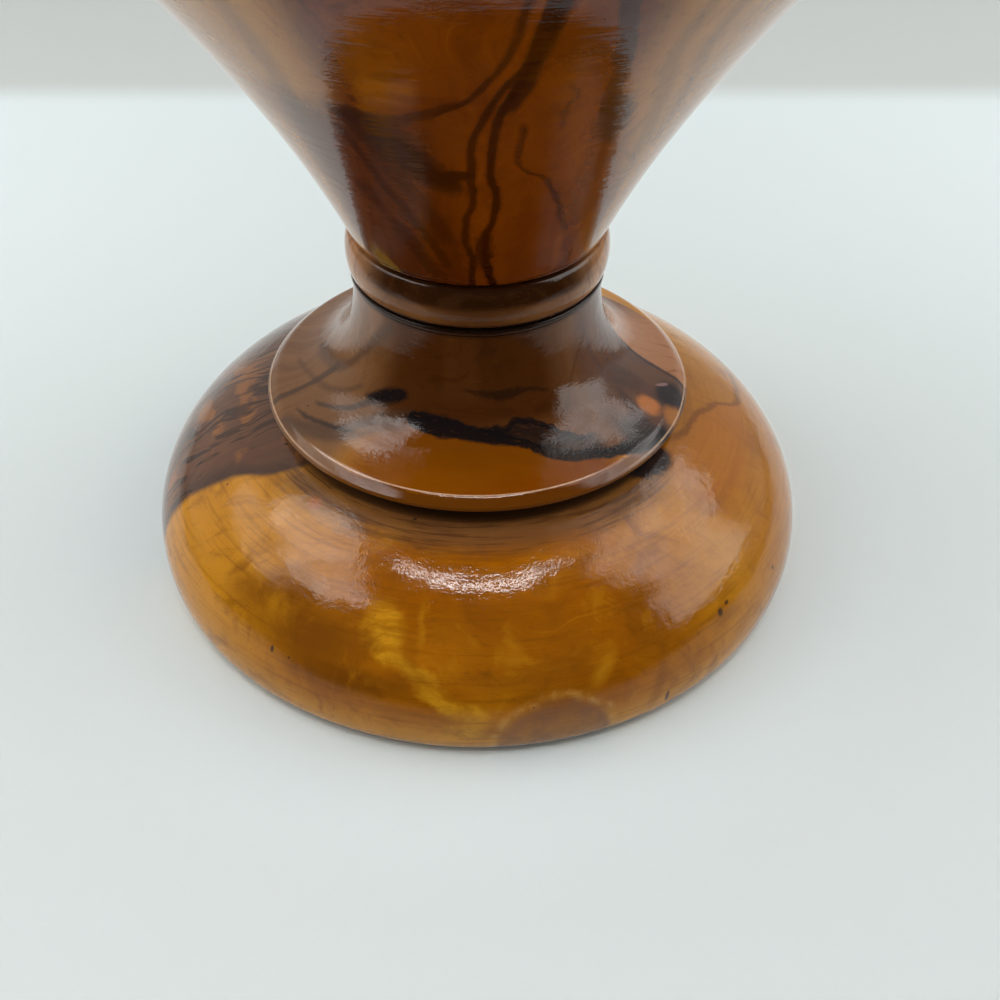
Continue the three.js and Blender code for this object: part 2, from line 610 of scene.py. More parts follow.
@dataclass(frozen=True)
class Stroke:
    """A dark line or band that runs round the axis.

    Attributes:
        path: (azimuth degrees, path length mm, half width mm) in rising order of azimuth.
        soft: fade at its edges in mm.
        depth: its strength from 0 to 1.
    """

    path: tuple[tuple[float, float, float], ...]
    soft: float
    depth: float


@dataclass(frozen=True)
class Patch:
    """An oval patch in the wood.

    Attributes:
        run: path length of its middle, in mm.
        azimuth: where its middle lies, in degrees from the front.
        along: half its extent along the path, in mm.
        across: half its extent round the axis, in mm.
        lean: sideways shift per mm of path.
        depth: its strength from 0 to 1.
    """

    run: float
    azimuth: float
    along: float
    across: float
    lean: float = 0.0
    depth: float = 1.0


class WoodShader:
    """Places and patterns that the woods share, in millimetres and degrees."""

    def __init__(self, name: str, grain: Grain, seed: float) -> None:
        """Starts a material.

        Args:
            name: the material's name.
            grain: which way the blank's grain runs.
            seed: where in the noise this blank lies.
        """
        self.material, self.nodes = new_material(name)
        nodes = self.nodes
        self.spot = nodes.vector("MULTIPLY", nodes.place(), (1 / MM,) * 3)
        self.x, self.y, self.z = nodes.split(self.spot)
        self.radius = off_axis(self.x, self.y)
        self.azimuth = bearing(self.x, self.y)
        run = nodes.add("ShaderNodeAttribute", {"attribute_name": "run"}, {})
        self.run = Value(nodes, run.outputs["Fac"])
        self.seeded = nodes.vector("ADD", self.spot, (seed, 2 * seed, 3 * seed))
        inputs = {"Vector": self.seeded, "Scale": 0.035, "Detail": 2.0}
        drift = nodes.add("ShaderNodeTexNoise", {}, inputs).outputs["Color"]
        centred = nodes.vector("SUBTRACT", drift, (0.5,) * 3)
        self.drifted = nodes.vector("MULTIPLY_ADD", centred, (DRIFT,) * 3, self.seeded)
        streaks, layers = grain.value
        self.along = nodes.vector("MULTIPLY", self.drifted, streaks)
        self.layers = nodes.vector("MULTIPLY", self.drifted, layers)
        self.fibre = nodes.noise(self.along, 1.6, 3.0, 0.6)
        self.wobble = nodes.noise(self.seeded, 0.11, 3.0, 0.55) - 0.5
        self.shake = nodes.noise(self.seeded, 0.55, 3.0, 0.6) - 0.5
        self.swell = nodes.noise(self.seeded, 0.13, 2.0, 0.5) * 2.4 - 0.2

    def warped(self, measure: Value, broad: float, fine: float) -> Value:
        """A measure with the wood's broad and fine waver added, in its own unit."""
        return measure + self.wobble * broad + self.shake * fine

    def swayed(self, broad: float, fine: float) -> Value:
        """The azimuth with a waver whose size is given in degrees at 1 mm from the axis."""
        return self.azimuth + (self.wobble * broad + self.shake * fine) / self.radius

    def side_length(self, degrees: Value) -> Value:
        """An angle round the axis as millimetres on the surface."""
        return degrees * self.radius * math.radians(1)

    def vein(self, vein: Vein, run: Value, azimuth: Value) -> Value:
        """The mask of a vein.

        It is the distance round the axis from the vein's path, in mm, compared with a half
        width that swells and thins along the wood.

        Args:
            vein: the vein.
            run: path length in mm.
            azimuth: degrees from the front.

        Returns:
            0 off the vein, its depth on it.
        """
        low, high = vein.path[0][0], vein.path[-1][0]
        away = self.side_length(azimuth - run.follow(vein.path))
        beyond = abs(away) - self.swell * vein.half
        ends = run.ramp(low - VEIN_END, low + VEIN_END)
        ends = ends * run.ramp(high + VEIN_END, high - VEIN_END)
        return beyond.ramp(vein.soft, 0.0) * ends * vein.depth

    def stroke(self, stroke: Stroke, run: Value, azimuth: Value) -> Value:
        """The mask of a stroke.

        It is the path length from the stroke's middle line, compared with its half width.

        Args:
            stroke: the stroke.
            run: path length in mm.
            azimuth: degrees from the front.

        Returns:
            0 off the stroke, its depth on it.
        """
        path = stroke.path
        away = run - azimuth.follow([(spot[0], spot[1]) for spot in path])
        beyond = abs(away) - azimuth.follow([(spot[0], spot[2]) for spot in path])
        low, high = path[0][0], path[-1][0]
        ends = azimuth.ramp(low - 2.5, low + 1.0) * azimuth.ramp(high + 2.5, high - 1.0)
        return beyond.ramp(stroke.soft, -0.3 * stroke.soft) * ends * stroke.depth

    def patch(self, patch: Patch, run: Value, azimuth: Value, soft: float) -> Value:
        """The mask of an oval patch.

        The offset from its middle, azimuth turned to mm on the spot and leant by lean mm per
        mm of path, is divided by the half sizes; the mask fades where that length passes 1.

        Args:
            patch: the patch.
            run: path length in mm.
            azimuth: degrees from the front.
            soft: share of the size over which it fades.

        Returns:
            Its depth inside, 0 outside.
        """
        up = run - patch.run
        side = self.side_length(azimuth - patch.azimuth) - up * patch.lean
        reach = ((up * (1 / patch.along)) ** 2.0 + (side * (1 / patch.across)) ** 2.0).root()
        return reach.ramp(1 + soft, 1 - soft) * patch.depth

    def pores(self, stretch: Point) -> Value:
        """Short fine pores, 1 in a pore."""
        place = self.nodes.vector("MULTIPLY", self.seeded, stretch)
        return self.nodes.noise(place, 1.0, 2.0, 0.6).ramp(0.62, 0.74)

    def coarse(self, scale: float, amount: float) -> Value:
        """Places where the varnish has orange peel; scale is how many there are per mm."""
        return self.nodes.noise(self.seeded, scale, 2.0, 0.5).ramp(0.50, 0.62) * amount

    def rings(self, pitch: float) -> Value:
        """Noise of the path length that hardly changes round the axis; pitch is rings per mm."""
        place = self.nodes.point(self.run * pitch, self.x * 0.03, self.y * 0.03)
        return self.nodes.noise(place, 1.0, 2.0, 0.6)

    def varnish(
        self, colour: Any, tones: "OliveTones", pores: Value, coarse: Value, calm: Number = 0.0
    ) -> None:
        """Closes the material with a varnish that has waves, turning marks, orange peel and pores.

        The turning marks are noise of the path length that hardly changes round the axis. The
        orange peel is fine noise, only where the varnish lies coarse.

        Args:
            colour: the wood's colour.
            tones: the finish.
            pores: the mask of the pores.
            coarse: 1 where the varnish has orange peel.
            calm: 1 where it lies flat.
        """
        nodes = self.nodes
        waves = (nodes.noise(self.seeded, 0.16, 2.0, 0.45) - 0.5) * 0.10
        brush = nodes.vector("MULTIPLY", self.seeded, (0.22, 0.22, 0.85))
        strokes = (nodes.noise(brush, 1.0, 3.0, 0.6) - 0.5) * 0.045
        mottle = (nodes.noise(self.seeded, 0.36, 3.0, 0.62) - 0.5) * 0.065
        marks = (self.rings(0.38) - 0.5) * tones.ripple + self.rings(0.95) * 0.012
        peel = nodes.noise(self.seeded, 1.9, 1.5, 0.5) * (coarse * 0.030 + 0.004)
        swing = (waves + strokes + mottle) * tones.uneven + marks
        height = swing * (1 - calm) + peel - pores * 0.004
        rough = tones.rough + nodes.noise(self.seeded, 0.08, 3.0, 0.6).ramp(0.35, 0.75) * 0.04
        self.finish(colour, rough, height, tones.shine)

    def finish(self, colour: Any, rough: Number, height: Value, shine: float) -> None:
        """Closes the material.

        Args:
            colour: the surface's colour.
            rough: its roughness.
            height: its height in mm.
            shine: its refractive index.
        """
        inputs = {"Height": height, "Strength": 1.0, "Distance": MM}
        bump = self.nodes.add("ShaderNodeBump", {}, inputs)
        inputs = {"Base Color": colour, "Roughness": rough, "IOR": shine, "Normal": bump}
        shader = self.nodes.add("ShaderNodeBsdfPrincipled", {}, inputs)
        self.nodes.add("ShaderNodeOutputMaterial", {}, {0: shader})


@dataclass(frozen=True)
class OliveTones:
    """Colours of one blank of olive wood and the varnish on it.

    Attributes:
        deep: the darker ground.
        light: the lighter ground.
        gold: golden patches.
        brown: brown veins and clouds.
        dark: the near-black lines.
        heart: the heartwood's purple brown.
        pale: the lighter sapwood towards both sides.
        shine: refractive index of the varnish.
        rough: its roughness.
        ripple: height in mm of the turning marks left under the varnish.
        uneven: share of the varnish's usual waves and brush strokes.
    """

    deep: Colour
    light: Colour
    gold: Colour
    brown: Colour
    dark: Colour
    heart: Colour
    # pale: a lighter tone towards both sides, painted side light.
    pale: Colour
    shine: float = 1.45
    rough: float = 0.065
    ripple: float = 0.030
    uneven: float = 1.0


@dataclass(frozen=True)
class FootWood(OliveTones):
    """Honey olive wood with a dark heartwood behind an upright plane, under gloss varnish.

    Attributes:
        edge: painted highlight, the pale line along the disc's rim and the foot's lower edge.
        fold_line: painted highlight, the pale line along the ledge's fold.
        honey: painted bounce light, the palest band low on the dome.
        gilt: the golden diagonal.
        arch: the brown arch at the foot's edge.
        halo: the yellow line round the arch.
        shade: painted shade, the dark band under the disc.
        tan: the dome's right side.
        apricot: its lighter part, between two growth lines.
        fleck: red flecks.
        ink: small dark flecks.
        black: the black patch on the dome, under the disc's rim.
        flare: the ground above the rim, darker in front as painted shade.
        haze: the smoky wood above the rim on the left.
        soot: grey-brown strokes at its left.
        umber: softer brown strokes.
    """

    deep: Colour = (0.30, 0.086, 0.001)
    light: Colour = (0.45, 0.150, 0.003)
    gold: Colour = (0.56, 0.235, 0.008)
    brown: Colour = (0.17, 0.050, 0.003)
    dark: Colour = (0.010, 0.007, 0.007)
    heart: Colour = (0.120, 0.052, 0.027)
    pale: Colour = (0.57, 0.235, 0.010)
    edge: Colour = (0.62, 0.40, 0.25)
    fold_line: Colour = (0.78, 0.50, 0.32)
    honey: Colour = (0.70, 0.300, 0.022)
    gilt: Colour = (0.62, 0.275, 0.010)
    arch: Colour = (0.195, 0.080, 0.034)
    halo: Colour = (0.56, 0.28, 0.06)
    shade: Colour = (0.150, 0.066, 0.024)
    tan: Colour = (0.30, 0.094, 0.008)
    apricot: Colour = (0.42, 0.125, 0.010)
    fleck: Colour = (0.36, 0.085, 0.006)
    ink: Colour = (0.035, 0.017, 0.010)
    black: Colour = (0.016, 0.012, 0.013)
    flare: Colour = (0.230, 0.060, 0.0010)
    haze: Colour = (0.205, 0.092, 0.036)
    soot: Colour = (0.050, 0.028, 0.018)
    umber: Colour = (0.085, 0.036, 0.014)

    def material(self, rim_run: float) -> bpy.types.Material:
        """Mixes the foot's wood.

        Args:
            rim_run: path length from the table to the disc's rim, in mm.

        Returns:
            The material.
        """
        wood = WoodShader("foot_wood", Grain.LEVEL, 3.7)
        nodes, azimuth, over = wood.nodes, wood.azimuth, wood.run - rim_run
        above = wood.z.ramp(45.4, 46.2)
        coat = Coat(nodes, self._ground(wood), 1 - above)
        self._dome(wood, coat)
        coat.zone = above
        self._flare(wood, coat, wood.warped(over, 2.6, 1.0))
        coat.zone = None
        self._bead(wood, coat)
        pores = wood.pores((0.30, 3.0, 2.2))
        coat.lay(pores * 0.45, self.brown)
        coat.lay(nodes.noise(wood.seeded, 0.60, 0.0).ramp(0.885, 0.90) * 0.8, self.dark)
        # Painted highlight: a pale line along the disc's rim, faded out in front
        rim_glint = (over + 0.25).band(0.16, 0.14) * (wood.shake * 0.9 + 0.8)
        coat.lay(rim_glint * abs(azimuth).ramp(34, 62) * 0.85, self.edge)
        # Painted highlight along the ledge's fold, across the front
        fold = (over - 2.05).band(0.10, 0.16) * azimuth.ramp(-56, -40) * azimuth.ramp(40, 28)
        coat.lay(fold * (wood.shake * 0.8 + 0.85) * 0.85, self.fold_line)
        # Painted highlight: a pale line along the foot's lower edge
        coat.lay(wood.run.band(0.5, 0.4) * (wood.shake * 1.2 + 0.6), self.edge)
        coarse = wood.coarse(0.06, 0.7)
        for row in ((48.5, -12, 5, 13), (47.5, 18, 3.5, 9), (rim_run + 12, 42, 9, 11)):
            coarse = coarse + wood.patch(Patch(*row), wood.run, azimuth, 0.4)
        calm = (over - 1.2).band(2.0, 0.8) * 0.8
        wood.varnish(coat.colour, self, pores, coarse, calm)
        return wood.material

    def _ground(self, wood: WoodShader) -> bpy.types.NodeSocket:
        """The honey ground with its level streaks, and painted side light that makes it lighter on both
        sides of the front.

        Args:
            wood: the blank's shader.

        Returns:
            The colour's socket.
        """
        nodes = wood.nodes
        broad = nodes.noise(wood.along, 0.22, 3.0, 0.55)
        streak = nodes.noise(wood.along, 1.1, 4.0, 0.6)
        cloud = nodes.noise(wood.seeded, 0.045, 3.0, 0.5)
        share = (broad * 0.5 + cloud * 0.4).ramp(0.36, 0.58) * 0.75
        coat = Coat(nodes, nodes.mix(share, self.deep, self.light))
        # Painted side light: the ground lighter away from the front
        sides = abs(wood.azimuth - 4.0).ramp(12, 62) * 0.85 + cloud * 0.4 - 0.2
        coat.lay(sides.ramp(0.0, 1.0), self.pale)
        # Painted bounce light: the dome lighter low down, next to the table
        coat.lay(wood.run.ramp(14, 3) * (1 - wood.run.ramp(-60, -62)) * 0.75, self.honey)
        coat.lay(streak.ramp(0.52, 0.78) * 0.5, self.brown)
        coat.lay(streak.ramp(0.44, 0.25) * 0.35, self.gold)
        return coat.colour

    def _dome(self, wood: WoodShader, coat: Coat) -> None:
        """The figure of the dome: gold and brown clouds, the arch, the heartwood on the left, and
        painted shade under the disc.

        Args:
            wood: the blank's shader.
            coat: its colour so far, which the figure is laid over.
        """
        nodes, plain = wood.nodes, wood.azimuth
        run = wood.warped(wood.run, 4.5, 1.6)
        azimuth = wood.swayed(260.0, 90.0)
        for row in (
            (18, -20, 3, 13, 1.2, 0.85), (25, -29, 6.5, 14, 0.5, 0.85), (31, -36, 5, 8, 0.5, 0.80),
            (27, -44, 4, 5, 0.5, 0.50), (8, 1, 3, 4, 0, 0.50), (29, 30, 9, 5, 0, 0.5),
            (33, 2, 5, 16, 0, 0.3), (22, 8, 4, 14, 0, 0.3), (12, 30, 8, 1.6, 0.3, 0.45),
            (19, 46, 2.2, 4.5, 0, 0.5), (40, 64, 1, 12, 0, 0.5),
        ):
            coat.lay(wood.patch(Patch(*row), run, azimuth, 0.8), self.brown)
        smear = nodes.noise(wood.along, 0.9, 3.0, 0.6).ramp(0.34, 0.62)
        gold = Vein(((5, -3), (12, -2), (17, -6), (22, -10), (28, -16), (37, -17)), 1.8, 4.5, 0.95)
        coat.lay(wood.vein(gold, run, azimuth) * (smear * 0.65 + 0.35), self.gilt)
        place = nodes.point(wood.run * 0.9, wood.x * 0.045, wood.y * 0.045)
        lines = nodes.noise(place, 1.0, 4.0, 0.65)
        coat.lay(lines.ramp(0.48, 0.66) * 0.34, self.brown)
        clouds = nodes.noise(wood.drifted, 0.085, 4.0, 0.6)
        coat.lay(clouds.ramp(0.50, 0.72) * 0.45, self.brown)
        coat.lay(clouds.ramp(0.46, 0.26) * 0.40, self.gold)
        for row in (
            (21, 20.5, 3.5, 2, 0.5, 0.55), (28, -37, 3.5, 2.5, 0, 0.45), (29, 52, 8, 3.5, 0.1, 0.6),
            (31, 58, 6, 9, 0.1, 0.4), (33, -9.5, 4, 0.8, 0, 0.5), (53, -20, 3, 5, 0.4, 0.4),
        ):
            mask = wood.patch(Patch(*row), run, azimuth, 0.9)
            coat.lay(mask * (smear * 0.6 + 0.4), self.gold)
        self._arch(wood, coat, run, azimuth)
        # Painted shade in the band under the disc, with darker lines in it
        shade = run.ramp(47, 54) * plain.band(48, 14)
        coat.lay(shade * 0.80, self.shade)
        coat.lay(shade * lines.ramp(0.48, 0.62) * 0.7, (0.080, 0.030, 0.010))
        coat.lay(plain.ramp(38, 70) * plain.ramp(125, 95) * 0.55, self.tan)
        # Painted shadow on the dome right under the disc's overhang
        coat.lay(wood.run.ramp(56.8, 59.5) * 0.85, (0.060, 0.026, 0.010))
        low = ((-180, 20), (40, 30), (62, 35), (75, 37), (95, 37), (130, 30), (180, 20))
        high = ((-180, 22), (55, 60), (70, 56), (78, 54), (88, 48), (97, 38), (180, 22))
        below, over = run - plain.follow(high), run - plain.follow(low)
        coat.lay(over.ramp(-3, 4) * below.ramp(0.5, -1.0) * plain.ramp(50, 66) * 0.45, self.apricot)
        coat.lay(below.band(0.4, 1.4) * plain.ramp(62, 72) * 0.65, self.brown)
        for row, ink in (
            ((52, -42, 1.6, 1.8, 0, 0.7), self.fleck),
            ((42.5, 60, 0.7, 4, 0, 0.5), self.fleck),
            ((18, -35, 0.9, 0.45, 0, 0.85), self.ink),
            ((20.5, 44.5, 1, 0.8, 0, 0.85), self.ink),
            ((21.5, 46.5, 0.5, 0.7, 0, 0.85), self.ink),
            ((6, 32, 2, 0.5, 0, 0.85), self.ink),
        ):
            coat.lay(wood.patch(Patch(*row), wood.run, plain, 0.4), ink)
        coat.lay(wood.patch(Patch(58.5, 55, 5.2, 6.8, 0, 0.97), run, azimuth, 0.22), self.black)
        self._heartwood(wood, coat, run, azimuth)

    def _arch(self, wood: WoodShader, coat: Coat, run: Value, azimuth: Value) -> None:
        """The brown arch that stands on the foot's edge, with a yellow line round it.

        Args:
            wood: the blank's shader.
            coat: its colour so far, which the figure is laid over.
            run: path length in mm.
            azimuth: degrees from the front.
        """
        arch = wood.patch(Patch(3, 12.5, 12.5, 13.5), run, azimuth, 0.10)
        halo = wood.patch(Patch(3, 12.5, 14.3, 15.5), run, azimuth, 0.09) * (1 - arch)
        fray = wood.nodes.noise(wood.seeded, 0.30, 3.0, 0.6).ramp(0.38, 0.62)
        coat.lay(halo * (fray * 0.5 + 0.15), self.halo)
        coat.lay(arch * (fray * 0.20 + 0.55), self.arch)

    def _heartwood(self, wood: WoodShader, coat: Coat, run: Value, azimuth: Value) -> None:
        """Purple-brown heartwood on the dome's left, with near-black lines and a dark boundary.

        Args:
            wood: the blank's shader.
            coat: its colour so far, which the figure is laid over.
            run: path length in mm.
            azimuth: degrees from the front.
        """
        nodes, middle = wood.nodes, -115.0
        spread = (
            (0, 40), (20, 43), (30, 45), (35, 47), (40, 49), (45, 52), (50, 57), (60, 63),
        )
        away = run.follow(spread) - abs((azimuth - middle).wrap(180.0))
        lines = nodes.noise(wood.layers, 0.75, 3.0, 0.58)
        fine = nodes.noise(wood.layers, 2.2, 3.0, 0.6)
        island = nodes.noise(wood.drifted, 0.10, 2.0, 0.5)
        tone = Coat(nodes, nodes.mix(lines.ramp(0.40, 0.64), self.heart, (0.20, 0.082, 0.032)))
        tone.lay(island.ramp(0.52, 0.62) * 0.75, (0.30, 0.110, 0.026))
        tone.lay(fine.ramp(0.52, 0.70) * 0.40, (0.065, 0.030, 0.018))
        tone.lay((lines - 0.56).band(0.016, 0.045) * 0.75, (0.024, 0.013, 0.011))
        tone.lay(away.ramp(7.0, 1.0) * 0.65, (0.045, 0.025, 0.017))
        coat.lay(away.ramp(-1.0, 1.2), tone.colour)

    def _flare(self, wood: WoodShader, coat: Coat, run: Value) -> None:
        """The figure above the disc's rim: heartwood behind the near-black streak, with painted shade
        in front.

        Args:
            wood: the blank's shader.
            coat: its colour so far, which the figure is laid over.
            run: path length from the rim in mm, with the wood's waver.
        """
        nodes, plain = wood.nodes, wood.azimuth
        azimuth = wood.swayed(130.0, 45.0)
        border = azimuth.follow((
            (-180, 4), (-150, -3), (-75, -3), (-64, 1), (-52, 6), (-40, 13), (-30, 16.5), (-22, 18),
            (-10, 18), (0, 17), (10, 15.5), (20, 12.5), (30, 9), (40, 5), (50, -1), (60, -3),
            (90, -3), (120, 4), (150, 8), (180, 4),
        ))
        # Painted shade: the wood above the rim darker in front
        front = plain.ramp(-46, -30) * plain.ramp(46, 34)
        coat.lay(front * 0.85, self.flare)
        coat.lay(run.ramp(13, 2) * plain.ramp(-12, 14) * front * 0.6, (0.20, 0.042, 0.001))
        # Painted shade: the band between the rim and the ledge darker in front
        coat.lay(run.ramp(2.1, 1.3) * 0.8 * plain.band(62, 10), (0.115, 0.033, 0.002))
        smoke = run.ramp(13, 9) * plain.ramp(-100, -90) * plain.ramp(-36, -46)
        coat.lay(smoke * 0.9, self.haze)
        coat.lay((run - border).ramp(-0.5, 0.6), self._core(wood, run, azimuth))
        ragged = nodes.noise(wood.along, 2.2, 3.0, 0.6) - 0.5
        upper = azimuth.follow(((2, 17.5), (10, 18.2), (18, 19), (25, 17), (31, 14), (38, 10.5)))
        scallop = nodes.noise(nodes.point(plain * 0.16, 0.0, 0.0), 1.0, 1.0, 0.5) * 4.0 - 2.0
        over = run + scallop - upper
        pocket = (run - border).ramp(-0.5, 0.5) * over.ramp(0.4, -0.4)
        grain = wood.fibre.ramp(0.40, 0.62)
        dusk = nodes.mix(grain, (0.050, 0.021, 0.012), (0.017, 0.010, 0.008))
        coat.lay(pocket * azimuth.ramp(0, 6) * azimuth.ramp(44, 38) * 0.93, dusk)
        branch = over.band(0.5, 0.6) * azimuth.ramp(0, 5) * azimuth.ramp(42, 36)
        coat.lay(branch * 0.9, self.dark)
        for stroke, ink in self._strokes():
            coat.lay(wood.stroke(stroke, run + ragged * 0.9, azimuth), ink)
        for vein, ink in (
            (Vein(((-1, -75), (5, -75), (12, -74), (19, -71)), 0.5, 0.9, 0.7), (0.05, 0.025, 0.014)),
            (Vein(((0, 82), (9, 87), (20, 90)), 0.25, 0.8, 0.8), (0.040, 0.018, 0.018)),
        ):
            coat.lay(wood.vein(vein, run, azimuth), ink)
        for row, ink in (
            ((5, 54, 4.6, 4.6, 0, 0.85), (0.040, 0.030, 0.025)),
            ((9, 60, 7, 1.6, 0.3, 0.6), (0.055, 0.028, 0.026)),
            ((1.2, 68, 2, 3.4, 0, 0.9), (0.40, 0.145, 0.030)),
            ((3.2, 75, 3.4, 4.6, 0, 0.97), (0.022, 0.012, 0.014)),
            ((5.6, 78, 1.3, 0.8, -0.8, 0.8), (0.34, 0.19, 0.18)),
            ((6.9, 66, 3, 2.6, 0, 0.97), (0.56, 0.185, 0.045)),
            ((16, 70, 6, 3, -0.4, 0.5), (0.060, 0.030, 0.024)),
        ):
            coat.lay(wood.patch(Patch(*row), run, azimuth, 0.35), ink)

    def _core(self, wood: WoodShader, run: Value, azimuth: Value) -> bpy.types.NodeSocket:
        """The heartwood above the streak, in its tones from the left to the right, with painted side
        light on the right and painted shade in front under the waist.

        Args:
            wood: the blank's shader.
            run: path length in mm.
            azimuth: degrees from the front.

        Returns:
            The colour's socket.
        """
        nodes, plain, grain = wood.nodes, wood.azimuth, wood.fibre.ramp(0.50, 0.72)
        lines = nodes.noise(wood.layers, 0.7, 3.0, 0.55)
        left, right = (0.215, 0.092, 0.030), (0.190, 0.082, 0.034)
        tone = Coat(nodes, nodes.mix(plain.ramp(26, 40), left, right))
        beyond = azimuth - run.follow(((-1, 82), (9, 87), (20, 90), (36, 94)))
        core = azimuth.ramp(44, 52) * beyond.ramp(1.5, -0.5)
        tone.lay(core * 0.9, (0.105, 0.046, 0.031))
        tone.lay(core * lines.ramp(0.42, 0.60) * 0.6, (0.155, 0.066, 0.030))
        # Painted side light: the upper flare lighter on the right
        tone.lay(beyond.ramp(-0.5, 1.5) * plain.ramp(130, 110), (0.44, 0.185, 0.075))
        tone.lay(lines.ramp(0.44, 0.66) * plain.ramp(20, 6) * 0.55, (0.13, 0.050, 0.016))
        tone.lay(grain * 0.45, self.brown)
        lower = run.ramp(27, 19) * plain.ramp(50, 34) * plain.ramp(-40, -20)
        tone.lay(lower * 0.7, (0.16, 0.050, 0.010))
        stripe = (plain + 7.0).band(5.0, 5.0) * run.ramp(22, 27)
        warm = nodes.mix(stripe * 0.55, (0.080, 0.020, 0.002), (0.125, 0.035, 0.006))
        warm = nodes.mix(grain * 0.4, warm, (0.035, 0.010, 0.002))
        middle = run.ramp(15, 21) * plain.ramp(-54, -32) * plain.ramp(48, 26)
        tone.lay(middle * 0.93, warm)
        # Painted shade: the flare's top darker in front, under the waist
        tone.lay(wood.z.ramp(75.5, 77.5) * plain.band(50, 30) * 0.8, (0.022, 0.008, 0.004))
        return tone.colour

    def _strokes(self) -> tuple[tuple[Stroke, Colour], ...]:
        """The flare's single strokes and their colours.

        Returns:
            Pairs of a stroke and its colour, the lowest layer first.
        """
        main = (
            (-27, 18.6, 0.3), (-24, 18.4, 1.7), (-16, 18.3, 2.1), (-8, 17.7, 1.9), (0, 16.9, 1.5),
            (8, 15.8, 1.3), (14, 14.1, 1.0), (20, 12.0, 1.1), (26, 9.6, 1.2), (33, 7.4, 1.0),
            (38, 5.6, 1.1), (44, 4.0, 1.5), (50, 2.6, 2.0), (57, 1.2, 2.2), (61, 0.2, 1.8),
        )
        tail = (
            (-66, 1.0, 1.0), (-58, 3.5, 1.6), (-50, 7.0, 2.2), (-42, 12.0, 2.4), (-34, 16.0, 1.8),
            (-26, 18.0, 1.4),
        )
        band = (
            (-95, 14, 0.9), (-80, 17, 1.0), (-68, 20, 1.1), (-60, 26, 1.2), (-50, 33, 1.3),
            (-40, 38, 1.2),
        )
        over_tail = ((-64, 9.5, 0.2), (-52, 14, 0.5), (-44, 18.5, 0.9), (-36, 21, 1.4))
        hair = ((-66, 5, 0.1), (-54, 7.5, 0.4), (-44, 10.5, 0.3))
        start = ((-47, 19, 0.2), (-41, 20.6, 1.2), (-36, 22, 1.5), (-30, 22.8, 0.5))
        under_band = ((-90, 8, 0.2), (-74, 12, 0.3), (-62, 15, 0.5), (-52, 20, 0.3))
        high = ((-4, 27, 0.1), (4, 25.8, 0.5), (12, 25.2, 0.9), (20, 26, 0.4), (30, 24.5, 0.1))
        rising = ((36, 19, 0.2), (46, 27, 0.3), (56, 33, 0.4))
        return (
            (Stroke(tail, 2.4, 0.62), self.soot),
            (Stroke(over_tail, 1.0, 0.8), self.soot),
            (Stroke(hair, 0.7, 0.75), (0.025, 0.014, 0.010)),
            (Stroke(start, 1.1, 0.95), self.dark),
            (Stroke(band, 2.0, 0.7), self.umber),
            (Stroke(under_band, 1.2, 0.55), self.umber),
            (Stroke(high, 0.8, 0.7), (0.020, 0.008, 0.003)),
            (Stroke(rising, 1.2, 0.5), self.umber),
            (Stroke(main, 0.7, 0.98), self.dark),
        )

    def _bead(self, wood: WoodShader, coat: Coat) -> None:
        """The waist bead: tan below, painted shade in front, a painted dark reflection high in front,
        painted side light at both sides.

        Args:
            wood: the blank's shader.
            coat: its colour so far, which the figure is laid over.
        """
        nodes, z, azimuth = wood.nodes, wood.z, abs(wood.azimuth)
        # Painted light: the bead darker in front and lighter at both sides; its upper front darkest, a
        # painted reflection of the dark body above
        sides = azimuth.ramp(38, 70)
        upper = nodes.mix(sides, (0.040, 0.012, 0.003), (0.44, 0.200, 0.080))
        lower = nodes.mix(azimuth.ramp(4, 26), (0.125, 0.042, 0.012), (0.20, 0.076, 0.022))
        lower = nodes.mix(sides, lower, (0.50, 0.25, 0.11))
        tone = Coat(nodes, nodes.mix(z.ramp(85.2, 83.2), upper, lower))
        tone.lay(wood.fibre.ramp(0.46, 0.70) * 0.5, (0.09, 0.032, 0.010))
        # Painted shade on the bead's lower edge
        tone.lay(z.ramp(80.4, 79.6) * 0.7, (0.040, 0.012, 0.005))
        coat.lay(z.ramp(78.6, 79.2), tone.colour)
        # Painted shade in the waist's grooves under the bead
        coat.lay(z.ramp(77.6, 78.2) * z.ramp(79.8, 79.2) * 0.9, (0.014, 0.006, 0.003))


